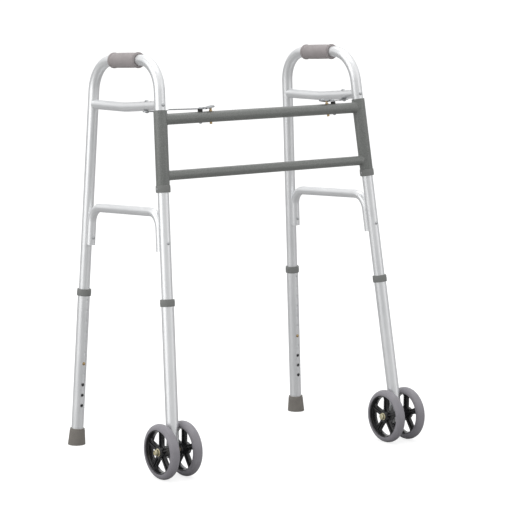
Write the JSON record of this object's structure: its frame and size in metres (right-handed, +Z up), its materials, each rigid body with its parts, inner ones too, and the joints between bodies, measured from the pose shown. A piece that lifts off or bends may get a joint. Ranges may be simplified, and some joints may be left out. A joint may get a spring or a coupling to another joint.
{
  "type": "folding two-wheeled walking frame",
  "caption": "Folding walking frame: two inverted-U side frames hinged in a welded cross frame, twin front wheels, rubber-tipped rear legs and height-adjustable legs.",
  "frame": {"origin": "on the floor, below the middle of the frame's bounding box", "axes": "+Z up, +X to the user's right, -Y the way the frame travels (the wheels are at -Y, the rubber tips at +Y)"},
  "size_m": [0.7538, 0.4876, 0.9469],
  "materials": {
    "anodised_tube": "bright satin anodised",
    "sleeve_paint": "hammered grey powder coat",
    "collar_plastic": "moulded, fine grain",
    "grip": "soft vinyl with a fine lengthwise grain",
    "tip_rubber": "moulded rubber",
    "tyre": "grey non-marking rubber",
    "hub_plastic": "moulded",
    "bearing_nylon": "plain nylon",
    "black_bush": "turned nylon",
    "brass": "bright",
    "spring_steel": "blued",
    "zinc_bolt": "yellow zinc plated",
    "zinc_steel": "bright zinc plated"
  },
  "bodies": {
    "cross_frame": {"hinge_sleeve_left": "sleeve_paint", "hinge_sleeve_right": "sleeve_paint", "upper_crossbar": "sleeve_paint", "lower_crossbar": "sleeve_paint", "latch_bushes": "black_bush", "latch_studs": "brass", "latch_rivets": "zinc_steel"},
    "side_frame_left": {"side_tube_left": "anodised_tube", "hand_grip_left": "grip", "upper_brace_left": "anodised_tube", "lower_brace_left": "anodised_tube", "frame_rivets_left": "zinc_steel", "stop_collar_left": "collar_plastic", "brace_bolt_left": "zinc_steel", "snap_spring_rear_left": "spring_steel", "snap_spring_front_left": "spring_steel"},
    "strip_left": {"latch_strip_left": "zinc_steel"},
    "paddle_left": {"release_paddle_left": "zinc_steel", "paddle_catch_left": "brass"},
    "rear_leg_left": {"rear_extension_left": "anodised_tube", "rear_collar_left": "collar_plastic", "rubber_tip_left": "tip_rubber"},
    "button_rear_left": {"snap_button_rear_left": "brass"},
    "front_leg_left": {"front_extension_left": "anodised_tube", "front_collar_left": "collar_plastic", "axle_bolt_left": "zinc_bolt"},
    "button_front_left": {"snap_button_front_left": "brass"},
    "wheel_left_outer": {"tyre_left_outer": "tyre", "hub_left_outer": "hub_plastic", "hub_bearing_left_outer": "bearing_nylon"},
    "wheel_left_inner": {"tyre_left_inner": "tyre", "hub_left_inner": "hub_plastic", "hub_bearing_left_inner": "bearing_nylon"},
    "side_frame_right": {"side_tube_right": "anodised_tube", "hand_grip_right": "grip", "upper_brace_right": "anodised_tube", "lower_brace_right": "anodised_tube", "frame_rivets_right": "zinc_steel", "stop_collar_right": "collar_plastic", "brace_bolt_right": "zinc_steel", "snap_spring_rear_right": "spring_steel", "snap_spring_front_right": "spring_steel"},
    "strip_right": {"latch_strip_right": "zinc_steel"},
    "paddle_right": {"release_paddle_right": "zinc_steel", "paddle_catch_right": "brass"},
    "rear_leg_right": {"rear_extension_right": "anodised_tube", "rear_collar_right": "collar_plastic", "rubber_tip_right": "tip_rubber"},
    "button_rear_right": {"snap_button_rear_right": "brass"},
    "front_leg_right": {"front_extension_right": "anodised_tube", "front_collar_right": "collar_plastic", "axle_bolt_right": "zinc_bolt"},
    "button_front_right": {"snap_button_front_right": "brass"},
    "wheel_right_inner": {"tyre_right_inner": "tyre", "hub_right_inner": "hub_plastic", "hub_bearing_right_inner": "bearing_nylon"},
    "wheel_right_outer": {"tyre_right_outer": "tyre", "hub_right_outer": "hub_plastic", "hub_bearing_right_outer": "bearing_nylon"}
  },
  "joints": [
    {"name": "fold_left", "type": "hinge", "parent": "cross_frame", "child": "side_frame_left", "pos_m": [-0.28692, -0.06922, 0.80062], "axis": [-0.0531, -0.1488, -0.9874], "range_deg": [0, 84]},
    {"name": "strip_swing_left", "type": "hinge", "parent": "side_frame_left", "child": "strip_left", "pos_m": [-0.28606, -0.01322, 0.81658], "axis": [0.0531, 0.1488, 0.9874], "range_deg": [0, 104.22]},
    {"name": "paddle_lift_left", "type": "hinge", "parent": "strip_left", "child": "paddle_left", "pos_m": [-0.16533, -0.06621, 0.82061], "axis": [0, -0.9888, 0.1491], "range_deg": [0, 10], "stiffness_Nm_per_rad": 0.6, "springref_deg": -11.46},
    {"name": "rear_height_left", "type": "slide", "parent": "side_frame_left", "child": "rear_leg_left", "axis": [0.0537, -0.0119, 0.9985], "range_m": [-0.0508, 0.1016]},
    {"name": "rear_button_left", "type": "slide", "parent": "side_frame_left", "child": "button_rear_left", "axis": [0.0006, 0.9999, 0.0119], "range_m": [0, 0.0052], "stiffness_N_per_m": 800, "springref_m": -0.004, "deforming": ["snap_spring_rear_left"]},
    {"name": "front_height_left", "type": "slide", "parent": "side_frame_left", "child": "front_leg_left", "axis": [0.0531, 0.1488, 0.9874], "range_m": [-0.0508, 0.1016]},
    {"name": "front_button_left", "type": "slide", "parent": "side_frame_left", "child": "button_front_left", "axis": [0.008, -0.9889, 0.1486], "range_m": [0, 0.0052], "stiffness_N_per_m": 800, "springref_m": -0.004, "deforming": ["snap_spring_front_left"]},
    {"name": "wheel_spin_left_outer", "type": "hinge", "parent": "front_leg_left", "child": "wheel_left_outer", "pos_m": [-0.35753, -0.18033, 0.0635], "axis": [1, 0, 0], "continuous": true},
    {"name": "wheel_spin_left_inner", "type": "hinge", "parent": "front_leg_left", "child": "wheel_left_inner", "pos_m": [-0.29563, -0.18033, 0.0635], "axis": [1, 0, 0], "continuous": true},
    {"name": "fold_right", "type": "hinge", "parent": "cross_frame", "child": "side_frame_right", "pos_m": [0.28692, -0.06922, 0.80062], "axis": [-0.0531, 0.1488, 0.9874], "range_deg": [0, 77]},
    {"name": "strip_swing_right", "type": "hinge", "parent": "side_frame_right", "child": "strip_right", "pos_m": [0.28616, -0.01348, 0.81482], "axis": [0.0531, -0.1488, -0.9874], "range_deg": [0, 85.7]},
    {"name": "paddle_lift_right", "type": "hinge", "parent": "strip_right", "child": "paddle_right", "pos_m": [0.19883, -0.06621, 0.82061], "axis": [0, 0.9888, -0.1491], "range_deg": [0, 10], "stiffness_Nm_per_rad": 0.6, "springref_deg": -11.46},
    {"name": "rear_height_right", "type": "slide", "parent": "side_frame_right", "child": "rear_leg_right", "axis": [-0.0537, -0.0119, 0.9985], "range_m": [-0.0508, 0.1016]},
    {"name": "rear_button_right", "type": "slide", "parent": "side_frame_right", "child": "button_rear_right", "axis": [-0.0006, 0.9999, 0.0119], "range_m": [0, 0.0052], "stiffness_N_per_m": 800, "springref_m": -0.004, "deforming": ["snap_spring_rear_right"]},
    {"name": "front_height_right", "type": "slide", "parent": "side_frame_right", "child": "front_leg_right", "axis": [-0.0531, 0.1488, 0.9874], "range_m": [-0.0508, 0.1016]},
    {"name": "front_button_right", "type": "slide", "parent": "side_frame_right", "child": "button_front_right", "axis": [-0.008, -0.9889, 0.1486], "range_m": [0, 0.0052], "stiffness_N_per_m": 800, "springref_m": -0.004, "deforming": ["snap_spring_front_right"]},
    {"name": "wheel_spin_right_inner", "type": "hinge", "parent": "front_leg_right", "child": "wheel_right_inner", "pos_m": [0.29563, -0.18033, 0.0635], "axis": [1, 0, 0], "continuous": true},
    {"name": "wheel_spin_right_outer", "type": "hinge", "parent": "front_leg_right", "child": "wheel_right_outer", "pos_m": [0.35753, -0.18033, 0.0635], "axis": [1, 0, 0], "continuous": true}
  ],
  "couplings": [
    {"joint": "strip_swing_left", "follows": "fold_left", "ratio": 1.2347},
    {"joint": "strip_swing_right", "follows": "fold_right", "ratio": 1.1065}
  ]
}
